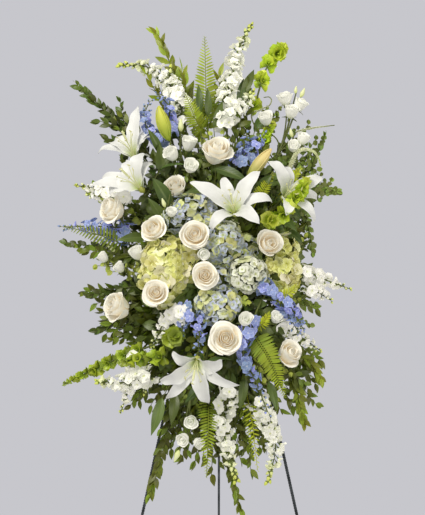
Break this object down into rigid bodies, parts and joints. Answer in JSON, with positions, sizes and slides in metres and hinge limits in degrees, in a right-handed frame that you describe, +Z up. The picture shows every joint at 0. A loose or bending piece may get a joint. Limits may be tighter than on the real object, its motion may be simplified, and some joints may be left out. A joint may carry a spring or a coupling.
{
  "type": "standing funeral spray",
  "caption": "Standing spray of white, blue and green flowers with ferns and leafy branches, in a caged block of wet floral foam hung on a folding wire easel.",
  "frame": {"origin": "on the floor, under the middle of the bounding box", "axes": "+Z up, -Y towards the viewer of the flowers, +X to that viewer's right"},
  "size_m": [0.7354, 0.6738, 1.852],
  "materials": {
    "easel_steel": "satin dark grey wire, twisted on the front legs",
    "cage_plastic": "moulded green plastic",
    "wet_foam": "matt fine-celled foam, soaked",
    "rose_petal": "soft ivory petal with peach creases",
    "lily_petal": "soft white petal",
    "lisianthus_petal": "thin white petal",
    "hydrangea_lime": "thin pale yellow-green petal",
    "hydrangea_blue": "thin pale blue petal",
    "hydrangea_white": "thin white petal",
    "delphinium_blue": "thin periwinkle blue petal",
    "snapdragon_white": "soft white petal",
    "stock_white": "soft white petal",
    "bell_green": "thin bright green cup",
    "fern_green": "thin yellow-green frond",
    "veronica_pale": "fine pale green and white spike",
    "leaf_green": "waxy green leaf"
  },
  "bodies": {
    "stand": {"leg_left": "easel_steel", "leg_right": "easel_steel", "head_bracket": "easel_steel", "foam_cage": "cage_plastic", "foam_block": "wet_foam", "bells_left": "bell_green", "bells_right": "bell_green", "bells_top": "bell_green", "delphinium_centre": "delphinium_blue", "delphinium_left": "delphinium_blue", "delphinium_right": "delphinium_blue", "delphinium_top_left": "delphinium_blue", "delphinium_top_right": "delphinium_blue", "fern_bottom": "fern_green", "fern_left": "fern_green", "fern_right": "fern_green", "fern_top": "fern_green", "foliage_bottom": "leaf_green", "foliage_left_lower": "leaf_green", "foliage_left_upper": "leaf_green", "foliage_right_lower": "leaf_green", "foliage_right_upper": "leaf_green", "foliage_top": "leaf_green", "hydrangea_blue_lower": "hydrangea_blue", "hydrangea_blue_top": "hydrangea_blue", "hydrangea_blue_upper": "hydrangea_blue", "hydrangea_green_left": "hydrangea_lime", "hydrangea_green_right": "hydrangea_lime", "hydrangea_white_centre": "hydrangea_white", "lily_centre": "lily_petal", "lily_left": "lily_petal", "lily_low": "lily_petal", "lily_right": "lily_petal", "lisianthus_bottom": "lisianthus_petal", "lisianthus_centre": "lisianthus_petal", "lisianthus_left": "lisianthus_petal", "lisianthus_top_left": "lisianthus_petal", "lisianthus_top_right": "lisianthus_petal", "rose_1": "rose_petal", "rose_10": "rose_petal", "rose_11": "rose_petal", "rose_2": "rose_petal", "rose_3": "rose_petal", "rose_4": "rose_petal", "rose_5": "rose_petal", "rose_6": "rose_petal", "rose_7": "rose_petal", "rose_8": "rose_petal", "rose_9": "rose_petal", "snapdragon_bottom": "snapdragon_white", "snapdragon_low_left": "snapdragon_white", "snapdragon_top": "snapdragon_white", "snapdragon_top_left": "snapdragon_white", "stock_centre": "stock_white", "stock_left": "stock_white", "stock_low_left": "stock_white", "stock_low_right": "stock_white", "stock_right": "stock_white", "veronica": "veronica_pale"},
    "rear_leg": {"back_leg": "easel_steel"}
  },
  "joints": [
    {"name": "back_leg_hinge", "type": "hinge", "parent": "stand", "child": "rear_leg", "pos_m": [0.0373, 0.03967, 1.38314], "axis": [-1, 0, 0], "range_deg": [0, 20]}
  ]
}
